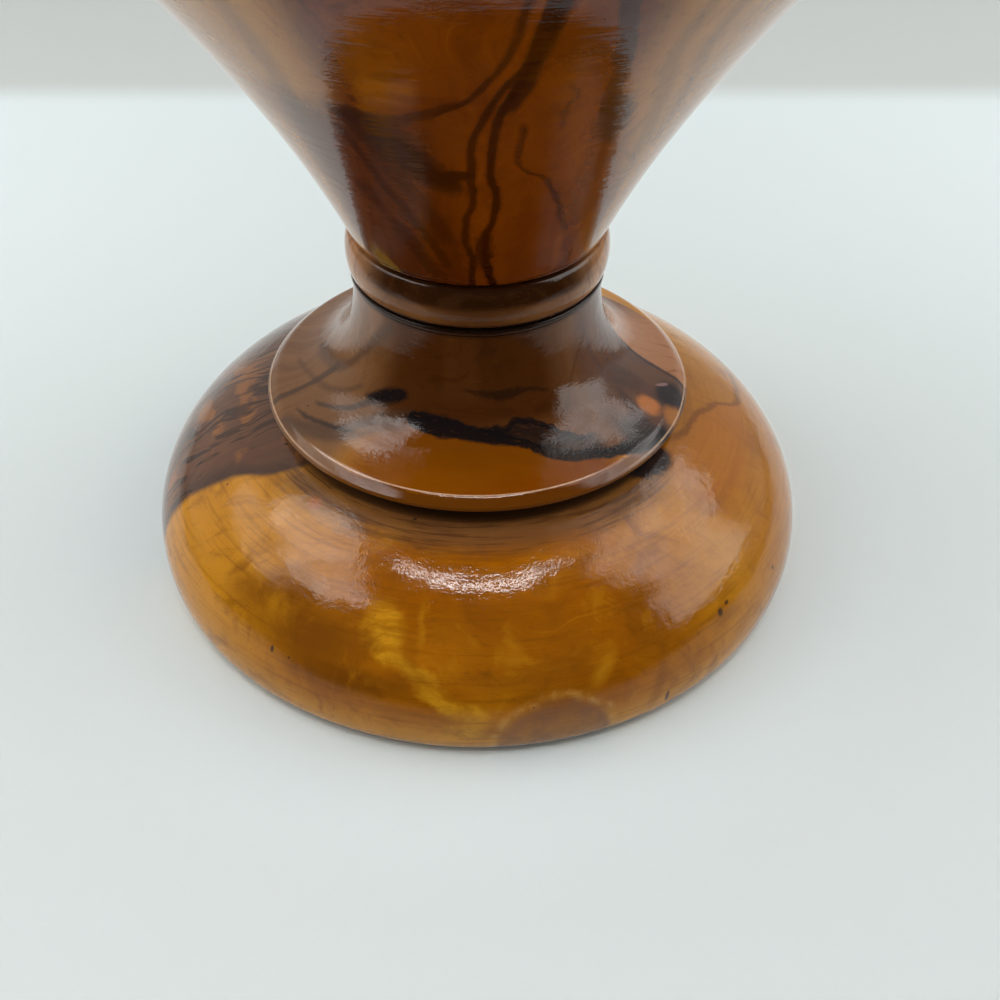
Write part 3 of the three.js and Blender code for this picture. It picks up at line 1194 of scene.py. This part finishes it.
@dataclass(frozen=True)
class BodyWood(OliveTones):
    """Amber olive wood with upright dark veins, under gloss varnish.

    Attributes:
        left: the darker wood at the front's left.
        straw: the yellow patch low on the left.
    """

    deep: Colour = (0.118, 0.0190, 0.0005)
    light: Colour = (0.198, 0.0385, 0.0008)
    gold: Colour = (0.31, 0.082, 0.002)
    brown: Colour = (0.070, 0.0095, 0.0006)
    dark: Colour = (0.014, 0.0006, 0.0003)
    heart: Colour = (0.022, 0.0016, 0.0006)
    pale: Colour = (0.42, 0.160, 0.010)
    left: Colour = (0.080, 0.0125, 0.0006)
    straw: Colour = (0.24, 0.125, 0.006)
    shine: float = 1.55
    ripple: float = 0.055
    uneven: float = 0.45

    def material(self, name: str, seed: float, photographed: bool) -> bpy.types.Material:
        """Mixes the body's wood.

        Args:
            name: the material's name.
            seed: where in the noise the blank lies.
            photographed: whether the veins at the front are laid out one by one.

        Returns:
            The material.
        """
        wood = WoodShader(name, Grain.UPRIGHT, seed)
        nodes, away = wood.nodes, abs(wood.azimuth)
        broad = nodes.noise(wood.along, 0.2, 3.0, 0.55)
        streak = nodes.noise(wood.along, 1.2, 4.0, 0.6)
        coat = Coat(nodes, nodes.mix(broad.ramp(0.36, 0.62), self.deep, self.light))
        coat.lay(streak.ramp(0.42, 0.25) * 0.25, self.gold)
        if photographed:
            # Painted side light: the body lighter beyond the edge of the foot's reflection, towards
            # both sides
            limit = wood.run.follow(((0, 50), (10, 46), (30, 37), (50, 28), (70, 21), (245, 20)))
            side_light = (away - limit).ramp(-2.0, 9.0) * (wood.run.ramp(190, 100) * 0.6 + 0.4)
            coat.lay(side_light * (away.ramp(150, 75) * 0.45 + 0.5), self.pale)
        coat.lay(streak.ramp(0.5, 0.8) * 0.45, self.brown)
        if photographed:
            front = away.ramp(92, 72) * wood.run.ramp(110, 84)
            self._wild_veins(wood, coat, 0.85 - front * 0.80)
            self._front_veins(wood, coat)
        else:
            self._wild_veins(wood, coat, 0.85)
        pores = wood.pores((3.0, 3.0, 0.30))
        coat.lay(pores * 0.4, self.dark)
        wood.varnish(coat.colour, self, pores, wood.coarse(0.05, 0.5))
        return wood.material

    def _wild_veins(self, wood: WoodShader, coat: Coat, amount: Number) -> None:
        """Irregular upright veins and clouds, where growth layers meet the surface.

        Args:
            wood: the blank's shader.
            coat: its colour so far, which the figure is laid over.
            amount: their strength.
        """
        nodes = wood.nodes
        field = nodes.noise(wood.layers, 0.25, 1.3, 0.45)
        gate = nodes.noise(wood.seeded, 0.028, 2.0, 0.5).ramp(0.40, 0.56)
        lines = field + (wood.fibre - 0.5) * 0.02
        thin = (lines - 0.5).band(0.004, 0.014) * 0.85 + (lines - 0.60).band(0.007, 0.018) * 0.9
        cloud = (field - 0.545).band(0.03, 0.04) * 0.5
        coat.lay(cloud * gate * amount, self.brown)
        coat.lay((thin * gate * amount).least(0.95), self.dark)

    def _front_veins(self, wood: WoodShader, coat: Coat) -> None:
        """The veins and clouds of the photographed side.

        Args:
            wood: the blank's shader.
            coat: its colour so far, which the figure is laid over.
        """
        run = wood.warped(wood.run, 4.0, 1.2)
        azimuth = wood.swayed(90.0, 30.0)
        ragged = azimuth + (wood.fibre - 0.5) * 260.0 / wood.radius
        left = azimuth.ramp(1, -12) * azimuth.ramp(-50, -36) * run.ramp(66, 54)
        coat.lay(left * 0.75, self.left)
        for row, ink in (
            ((70, -11, 8, 9, 0, 0.6), self.light),
            ((68, -14, 5, 5, 0.2, 0.5), self.gold),
            ((50, 12, 24, 5, 0, 0.5), self.light),
            ((12, 15, 14, 8, 0, 0.6), self.light),
            ((72, -13, 1.6, 3.4, 0.4, 0.5), self.brown),
            ((10, -30, 12, 5, -0.1, 0.5), self.brown),
            ((3.5, -40.5, 4.5, 3, -0.3, 0.75), self.straw),
            ((14, 2, 6, 2, 0, 0.75), self.heart),
            ((58, -21, 3.2, 4.6, -0.5, 0.75), self.heart),
            ((53, -17.5, 5.5, 5.4, -0.56, 0.80), self.heart),
            ((46, -14.5, 6.5, 5.4, -0.56, 0.88), self.dark),
            ((39.5, -10, 5.2, 4.6, -0.56, 0.88), self.dark),
            ((40.5, -4.6, 1.8, 3.4, 0.3, 0.85), self.dark),
            ((66, -8, 1.8, 9, 0.2, 0.35), self.brown),
            ((56, 25.5, 8, 3.4, -0.2, 0.80), self.heart),
            ((62, 14, 3, 3, 0, 0.30), self.brown),
            ((30, 27, 12, 3, 0, 0.40), self.brown),
        ):
            coat.lay(wood.patch(Patch(*row), run, ragged, 0.45), ink)
        level = azimuth.follow(((-24, 60), (-16, 58), (-10, 60.5), (-5, 63.5), (-2, 65)))
        branch = (run - level).band(0.5, 2.2) * azimuth.ramp(-25, -20) * azimuth.ramp(-1, -4)
        coat.lay(branch * 0.7, self.heart)
        for vein in self._drawn():
            coat.lay(wood.vein(vein, run, azimuth), self.dark)

    @staticmethod
    def _drawn() -> tuple[Vein, ...]:
        """The single veins of the photographed side.

        Returns:
            The veins, the lowest layer first.
        """
        first = (
            (0, -2.5), (4, -1.5), (8, -1.5), (13, -2.5), (18, -3.7), (23, -3.6), (28, -2), (33, -1),
            (38, -1.5), (44, -1.2), (50, -1), (58, 0.5), (64, 2), (72, 4.5), (80, 7), (105, 8),
            (135, 4), (170, 6), (210, 0), (245, 2),
        )
        second = (
            (0, 8), (3, 6), (8, 4), (14, 2.8), (18, 2.5), (22, 3.5), (28, 4.6), (32, 4.8), (38, 3.5),
            (45, 2.8), (52, 3), (60, 3.6), (68, 5.5), (74, 6.6), (80, 8), (105, 9.5), (135, 9),
            (170, 12), (210, 15), (245, 11),
        )
        right = (
            (47, 28), (52, 25.5), (58, 23), (64, 22), (72, 21), (80, 19.5), (100, 17), (130, 20),
            (160, 18),
        )
        slant = (
            (17, 30), (21, 27), (26, 24), (30, 21), (35, 18), (38, 16), (42, 11), (46, 8.5), (58, 8),
        )
        return (
            Vein(first, 0.20, 1.1, 0.82),
            Vein(second, 0.25, 1.1, 0.88),
            Vein(((62, 4.5), (68, 6), (74, 7.0), (84, 8.4), (110, 10)), 0.9, 2.0, 0.85),
            Vein(((60, -7.5), (63, -5), (65, -2.5), (70, 0.5), (80, 4.0), (95, 5.5)), 0.15, 1.3, 0.7),
            Vein(slant, 0.2, 1.0, 0.55),
            Vein(((55, 15), (62, 14.5), (66, 15.5), (70, 14)), 0.1, 1.0, 0.35),
            Vein(right, 1.1, 1.4, 0.72),
            Vein(((16, -9), (24, -12), (32, -15.5), (42, -20), (52, -23), (60, -25.5)), 0.6, 2.4, 0.52),
            Vein(((8, -11), (16, -15), (25, -19), (34, -23), (44, -25.5), (54, -27)), 0.3, 1.6, 0.62),
            Vein(((3, -15), (10, -20), (18, -24), (26, -28), (34, -31)), 0.6, 2.4, 0.50),
            Vein(((4, 46), (20, 44), (40, 40), (60, 34), (80, 29), (110, 31)), 0.5, 2.6, 0.30),
            Vein(((40, 45), (60, 40), (80, 35), (110, 38)), 0.4, 2.6, 0.28),
            Vein(((6, -48), (30, -44), (55, -36), (80, -33), (110, -35)), 0.8, 3.2, 0.30),
        )


@dataclass(frozen=True)
class Felt:
    """Matt brown felt.

    Attributes:
        colour: its colour.
        fleck: the paler fibres.
        hollow: the darker places between its tufts.
    """

    colour: Colour = (0.055, 0.035, 0.022)
    fleck: Colour = (0.12, 0.085, 0.055)
    hollow: Colour = (0.03, 0.02, 0.013)

    def material(self) -> bpy.types.Material:
        """Mixes the felt.

        Returns:
            The material.
        """
        cloth = WoodShader("felt", Grain.LEVEL, 9.1)
        nodes = cloth.nodes
        fibre = nodes.noise(cloth.spot, 1.4, 4.0, 0.7, 1.5)
        tuft = nodes.noise(cloth.spot, 0.2, 3.0)
        coat = Coat(nodes, nodes.mix(fibre.ramp(0.45, 0.75) * 0.8, self.colour, self.fleck))
        coat.lay(tuft.ramp(0.4, 0.7) * 0.3, self.hollow)
        cloth.finish(coat.colour, 0.95, fibre * 0.12 + tuft * 0.1, 1.4)
        return cloth.material


# Sub-assemblies


@dataclass
class Foot:
    """The foot's one blank and its felt; sizes in mm as in the CAD."""

    stand: float = 78.7
    belly: float = 81.5
    belly_height: float = 9.5
    root: float = 45.5
    root_height: float = 42.4
    rim: float = 51.0
    rim_height: float = 46.6
    ledge: float = 48.8
    ledge_height: float = 48.75
    waist: float = 28.7
    waist_height: float = 76.7
    crease_height: float = 89.25
    recess: float = 58.6
    recess_height: float = 2.2
    pad: float = 58.3
    pad_low: float = 0.4
    pad_high: float = 1.9
    mortise: float = 15.3
    mortise_floor: float = 66.45

    def outline(self) -> Outline:
        """The blank's section.

        Returns:
            The section, with path lengths counted from the table's edge.
        """
        line = Outline((0.0, self.recess_height))
        line.line((self.recess - 0.6, self.recess_height), 20)
        line.bend((self.recess, self.recess_height), (self.recess, 0.8), 0.5, 3)
        line.bend((self.recess, 0.0), (self.stand - 1.0, 0.0), 0.6, 4)
        line.bend((self.stand, 0.0), (79.25, 0.75), 0.7, 4).mark("table")
        line.sweep((80.6, 2.4), (self.belly, 5.4), (self.belly, self.belly_height), 12)
        line.sweep((self.belly, 26.38), (62.64, 39.88), (self.root, self.root_height), 84)
        line.bend((47.15, 45.4), (50.6, 45.95), 1.4, 5)
        line.bend((self.rim, 46.0), (self.rim, self.rim_height), 0.3, 4)
        line.bend((self.rim, 46.85), (50.3, 47.45), 0.35, 4).mark("rim")
        line.bend((self.ledge, self.ledge_height), (48.0, 48.99), 0.9, 8)
        line.sweep((35.0, 52.3), (self.waist, 60.8), (self.waist, self.waist_height), 60)
        self._waist(line)
        line.line((self.mortise, self.crease_height - 0.15), 8)
        line.line((self.mortise, self.mortise_floor), 12)
        return line.line((0.0, self.mortise_floor), 16)

    def _waist(self, line: Outline) -> None:
        """Adds the two fine grooves, the ring between them, the bead and the crease.

        Args:
            line: the section, which ends at the foot of the waist.
        """
        low, high = self.waist - 0.6, self.waist + 0.6
        line.bend((low, 77.0), (high - 0.1, 77.22), 0.22, 3)
        line.bend((high, 77.3), (high, 77.8), 0.2, 3)
        line.bend((high, 78.4), (high - 0.15, 78.45), 0.2, 3)
        line.bend((low, 78.7), (self.waist, 79.0), 0.25, 3)
        line.bead(88.9, 1.5, 26)
        line.bend((28.0, 89.1), (26.5, 89.1), 0.3, 3)

    def pad_outline(self) -> Outline:
        """The felt disc's section, with its edges a little rounded.

        Returns:
            The section.
        """
        line = Outline((0.0, self.pad_low))
        line.line((self.pad - 1.0, self.pad_low), 6)
        line.bend((self.pad, self.pad_low), (self.pad, 1.15), 0.45, 4)
        line.bend((self.pad, self.pad_high), (self.pad - 1.0, self.pad_high), 0.45, 4)
        return line.line((0.0, self.pad_high), 6)

    def build(self) -> None:
        """Makes the blank and the felt and dresses them."""
        line = self.outline()
        wood = FootWood().material(line.run_at("rim"))
        settle(turned("foot_blank", line), "foot", wood)
        settle(turned("felt_disc", self.pad_outline(), 192), "felt_pad", Felt().material())


@dataclass
class Body:
    """The hollow body in two halves; sizes in mm as in the CAD."""

    tenon: float = 15.0
    tenon_foot: float = 67.25
    seat_height: float = 89.4
    waist: float = 29.1
    foot_height: float = 89.95
    widest: float = 92.0
    widest_height: float = 204.25
    lap: float = 88.0
    lap_height: float = 6.0
    wall: float = 8.0
    floor_height: float = 111.25
    shoulder: float = 36.3
    shoulder_height: float = 252.25
    opening: float = 29.3
    gap: float = 0.3

    def lower_outline(self) -> Outline:
        """The lower half: tenon, flaring wall, spigot and the hollow with its rounded floor.

        Returns:
            The section.
        """
        line = Outline((0.0, self.tenon_foot))
        line.bend((self.tenon, self.tenon_foot), (self.tenon, self.seat_height), 0.8, 3)
        line.line((28.0, self.seat_height), 8).mark("table")
        line.sweep((28.5, 89.5), (28.9, 89.7), (self.waist, self.foot_height), 4)
        start = len(line.spots())
        high = (self.widest, self.widest_height - 1.0)
        line.sweep((55.3, 149.75), (self.widest, 172.55), high, 96)
        wall = line.spots()[start:]
        joint = self.widest_height - self.gap / 2
        line.bend((self.widest, joint), (self.lap, joint), 0.25, 3).mark("widest")
        line.line((self.lap, joint + self.lap_height))
        line.line((self.widest - self.wall, joint + self.lap_height))
        inner = inset(wall, self.wall)
        inner = inner[inner[:, 1] > self.floor_height + 10][::-3]
        line.parts.append(inner)
        low = inner[-1]
        floor = self.floor_height
        return line.sweep((low[0] * 0.85, floor + 3), (low[0] * 0.6, floor), (0.0, floor), 14)

    def upper_outline(self, run: float) -> Outline:
        """The upper half: rebate, shoulder and the opening for the collar.

        Args:
            run: path length that the lower half's wall ends at, in mm.

        Returns:
            The section.
        """
        joint = self.widest_height + self.gap / 2
        rebate, top = self.lap + self.gap, self.widest_height + self.lap_height + self.gap
        line = Outline((rebate, joint))
        line.bend((self.widest, joint), (self.widest, joint + 1), 0.25, 3).mark("table", -run)
        start = len(line.spots())
        shoulder = (self.shoulder, self.shoulder_height)
        line.sweep((self.widest, 234.25), (66.3, 244.75), shoulder, 84)
        wall = line.spots()[start:]
        line.bend((self.opening, self.shoulder_height), (self.opening, 247.0), 0.5, 3)
        inner = inset(wall, self.wall)
        inner = inner[(inner[:, 1] > top) & (inner[:, 0] > self.opening)][::-3]
        line.line((self.opening, float(inner[0, 1])))
        line.parts.append(inner)
        line.line((self.widest - self.wall, top))
        line.line((rebate, top))
        return line.line((rebate, joint + 0.4))

    def build(self) -> None:
        """Makes both halves in one run of wood and dresses them."""
        lower = self.lower_outline()
        wood = BodyWood().material("body_wood", 21.3, True)
        settle(turned("body_lower_half", lower), "body_lower", wood)
        upper = self.upper_outline(lower.run_at("widest"))
        settle(turned("body_upper_half", upper), "body_upper", wood)


@dataclass
class Collar:
    """The neck and lip, turned from a third blank; sizes in mm as in the CAD."""

    bore: float = 22.0
    spigot: float = 29.0
    spigot_foot: float = 243.25
    seat: float = 252.55
    bead: float = 34.7
    bead_top: float = 259.55
    neck: float = 30.5
    throat: float = 269.55
    lip: float = 44.8
    lip_foot: float = 282.55
    lip_top: float = 288.55
    mouth: float = 40.0

    def outline(self) -> Outline:
        """The collar's closed section.

        Returns:
            The section.
        """
        line = Outline((self.bore, self.spigot_foot))
        line.bend((self.spigot, self.spigot_foot), (self.spigot, self.seat), 0.8, 3)
        line.line((self.bead, self.seat)).mark("table")
        line.bead(self.bead_top, 1.6, 22)
        line.sweep((self.neck, 262.05), (self.neck, 265.55), (self.neck, self.throat), 16)
        line.sweep((self.neck, 280.0), (37.82, self.lip_foot), (self.lip, self.lip_foot), 26)
        line.bead(self.lip_top, 1.2, 14)
        line.bend((self.mouth, self.lip_top), (39.2, 288.3), 0.8, 5)
        line.sweep((33.3, 286.65), (self.bore, 279.05), (self.bore, self.throat), 24)
        return line.line((self.bore, self.spigot_foot + 0.5), 3)

    def build(self) -> None:
        """Makes the collar and dresses it."""
        wood = BodyWood().material("collar_wood", 47.9, False)
        settle(turned("neck_and_lip", self.outline()), "neck_collar", wood)


# Studio


@dataclass(frozen=True)
class Panel:
    """A soft-edged glowing panel overhead, facing down; lengths in m.

    Attributes:
        name: its name.
        middle: x and y of its centre.
        size: its width and depth.
        glow: radiance in its middle.
        turn: degrees that it is turned, counterclockwise from above.
        soft: share of its half size over which it fades out.
        height: above the table.
        tint: the colour of its light.
    """

    name: str
    middle: Spot
    size: Spot
    glow: float
    turn: float = 0.0
    soft: float = 0.35
    height: float = 0.6
    tint: Colour = (1.0, 0.98, 0.97)

    def share(self, x: Value, y: Value) -> Value:
        """How much of the glow each spot has: a box with round corners and uneven cloth over it.

        Args:
            x: metres along the width from the centre.
            y: metres along the depth.

        Returns:
            1 in the middle, 0 outside.
        """
        across, along = x * (2 / self.size[0]), y * (2 / self.size[1])
        nodes = x.nodes
        fold = nodes.noise(nodes.point(x, y, 0.0), 7.0, 3.0, 0.6) - 0.5
        box = (across**4.0 + along**4.0).root().root() + fold * 0.5
        return box.ramp(1, 1 - self.soft) * (fold.ramp(0.12, -0.14) * 0.55 + 0.45)

    def place(self) -> None:
        """Makes the panel, clear where it doesn't glow and unseen by the camera."""
        material, nodes = new_material(self.name)
        x, y, _ = nodes.split(nodes.place())
        share = self.share(x, y)
        inputs = {"Color": (*self.tint, 1.0), "Strength": self.glow}
        light = nodes.add("ShaderNodeEmission", {}, inputs)
        clear = nodes.add("ShaderNodeBsdfTransparent", {}, {})
        mixed = nodes.add("ShaderNodeMixShader", {}, {0: share, 1: clear, 2: light})
        nodes.add("ShaderNodeOutputMaterial", {}, {0: mixed})
        panel = sheet(self.name, (self.size[0] / 2, self.size[1] / 2), material)
        panel.location = (*self.middle, self.height)
        panel.rotation_euler = (0.0, 0.0, math.radians(self.turn))
        panel.visible_camera = False
        panel.visible_shadow = False


@dataclass(frozen=True)
class Ceiling(Panel):
    """A dim round panel whose front edge is a bright, narrow arc.

    Attributes:
        radius: of the arc's middle line.
        half: half the arc's width.
        fade: width of the arc's soft edges.
        dim: share of the glow inside the arc.
    """

    radius: float = 0.200
    half: float = 0.006
    fade: float = 0.012
    dim: float = 0.012

    def share(self, x: Value, y: Value) -> Value:
        """The arc, which fades towards the sides, and the dim disc inside it.

        Args:
            x: metres along the width from the centre.
            y: metres along the depth.

        Returns:
            1 on the arc, less inside it, 0 outside.
        """
        away = off_axis(x, y)
        arc = (away - self.radius).band(self.half, self.fade) * abs(bearing(x, y)).ramp(86, 44)
        disc = away.ramp(self.radius + 0.02, self.radius - 0.03)
        return arc.most(disc * self.dim)


def sheet(name: str, half: Spot, material: bpy.types.Material) -> bpy.types.Object:
    """A level rectangle round the origin that belongs to the studio.

    Args:
        name: its name.
        half: half its width and depth in m.
        material: its finish.

    Returns:
        The sheet.
    """
    wide, deep = half
    mesh = bpy.data.meshes.new(name)
    spots = [(-wide, -deep, 0), (wide, -deep, 0), (wide, deep, 0), (-wide, deep, 0)]
    mesh.from_pydata(spots, [], [(0, 1, 2, 3)])
    mesh.materials.append(material)
    flat = in_scene(name, mesh)
    return flat


@dataclass
class Studio:
    """Pale table, soft overhead light and the camera; lengths in m.

    Attributes:
        reach: half the table's width.
        fold: where the table's darker back part starts.
        floor: the table's colour in front.
        far: its colour behind the vase, lighter as painted light.
        close: its colour round the foot, lighter as painted light against the vase's shadow.
        wall: its colour behind the fold.
        mirrored: the table as the varnish mirrors it.
        air: the tint of the world's light.
        fill: the world's strength at the front and at the sides.
        eye: the camera's place.
        tilt: its angle from straight down, in degrees.
        shift: its sideways shift.
        panels: the lamps.
    """

    reach: float = 4.0
    fold: float = 0.262
    floor: Colour = (0.585, 0.620, 0.615)
    far: Colour = (0.73, 0.80, 0.80)
    close: Colour = (0.69, 0.765, 0.775)
    wall: Colour = (0.565, 0.590, 0.575)
    mirrored: Colour = (0.96, 1.0, 0.99)
    air: Colour = (0.95, 1.0, 1.0)
    fill: tuple[float, float] = (0.265, 0.77)
    eye: Point = (0.0, -0.2785, 0.2459)
    tilt: float = 49.2
    shift: float = 0.0228
    panels: tuple[Panel, ...] = (
        Ceiling("ceiling", (0.0, -0.03), (0.56, 0.56), 29.0),
        Panel("left", (-0.50, -0.08), (0.46, 0.70), 4.7, -12.0, 0.25),
        Panel("left_far", (-0.96, 0.10), (0.66, 0.90), 2.2, -8.0, 0.4),
        Panel("right", (0.67, 0.10), (0.80, 0.82), 3.6, -16.0, 0.30),
    )

    def build(self) -> None:
        """Makes the table, the lamps, the world and the camera."""
        self._table()
        for panel in self.panels:
            panel.place()
        self._world()
        self._camera()

    def _table(self) -> None:
        """The table, a little darker behind the fold, with painted light that makes it lighter towards
        the back and round the foot.

        Its far sides and the part towards the photographer hardly show in reflections, where
        the varnish sees a plain glow that is weaker there.
        """
        material, nodes = new_material("table")
        x, y, _ = nodes.split(nodes.place())
        # Painted light: the table lighter towards the back
        colour = nodes.mix(y.ramp(-0.35, 0.22), self.floor, self.far)
        # Painted light: the table lighter round the foot, against the vase's shadow
        colour = nodes.mix(off_axis(x, y).ramp(0.125, 0.085) * 0.7, colour, self.close)
        colour = nodes.mix(y.ramp(self.fold - 0.012, self.fold + 0.012), colour, self.wall)
        inputs = {"Base Color": colour, "Roughness": 0.6, "IOR": 1.3}
        paper = nodes.add("ShaderNodeBsdfPrincipled", {}, inputs)
        near = (abs(x) - y.most(0.0) * 0.5).ramp(0.24, 0.15) * y.ramp(-0.125, -0.088)
        dim = y.ramp(-0.10, 0.10) * 0.22
        level = y.ramp(-0.075, 0.020) * 0.50 + 0.34
        glow = nodes.mix(near * level + dim * (1 - near), (0.0, 0.0, 0.0), self.mirrored)
        light = nodes.add("ShaderNodeEmission", {}, {"Color": glow, "Strength": 1.0})
        share = nodes.glossy() * (1 - near * 0.35)
        mixed = nodes.add("ShaderNodeMixShader", {}, {0: share, 1: paper, 2: light})
        nodes.add("ShaderNodeOutputMaterial", {}, {0: mixed})
        sheet("table", (self.reach, self.reach), material)

    def _world(self) -> None:
        """Even fill; in reflections dark in front, paler to the back, with a window on the right."""
        world = bpy.data.worlds.new("studio")
        bpy.context.scene.world = world
        world.use_nodes = True
        nodes = Nodes(world.node_tree)
        x, y, z = nodes.split(nodes.place("Generated"))
        azimuth = bearing(x, y)
        sides = abs(azimuth).ramp(74, 122) * 0.48
        window = azimuth.ramp(62, 68) * azimuth.ramp(112, 100) * z.ramp(0.12, 0.18) * z.ramp(0.62, 0.5)
        seen = (sides + window * 2.4) * z.ramp(-0.01, 0.0) + 0.02
        glossy = nodes.glossy()
        front, side = self.fill
        even = abs(azimuth).ramp(50, 95) * (side - front) + front
        strength = seen * glossy + (1 - glossy) * even
        inputs = {"Color": (*self.air, 1.0), "Strength": strength}
        nodes.add("ShaderNodeOutputWorld", {}, {0: nodes.add("ShaderNodeBackground", {}, inputs)})

    def _camera(self) -> None:
        """The camera at the photograph's viewing angle."""
        data = bpy.data.cameras.new("camera")
        data.lens, data.sensor_width = 50.0, 36.0
        data.shift_x = self.shift
        camera = in_scene("camera", data)
        camera.location = self.eye
        camera.rotation_euler = (math.radians(self.tilt), 0.0, 0.0)
        bpy.context.scene.camera = camera


def write_sizes() -> None:
    """Updates the view layer."""
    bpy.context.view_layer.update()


def main() -> None:
    """Builds the studio and the vase."""
    logging.basicConfig(level=logging.INFO, format="%(name)s: %(message)s")
    bpy.context.scene.view_settings.view_transform = "Standard"
    for part in (Studio(), Foot(), Body(), Collar()):
        part.build()
        LOG.info("%s built", type(part).__name__)
    write_sizes()


if __name__ == "__main__":
    main()
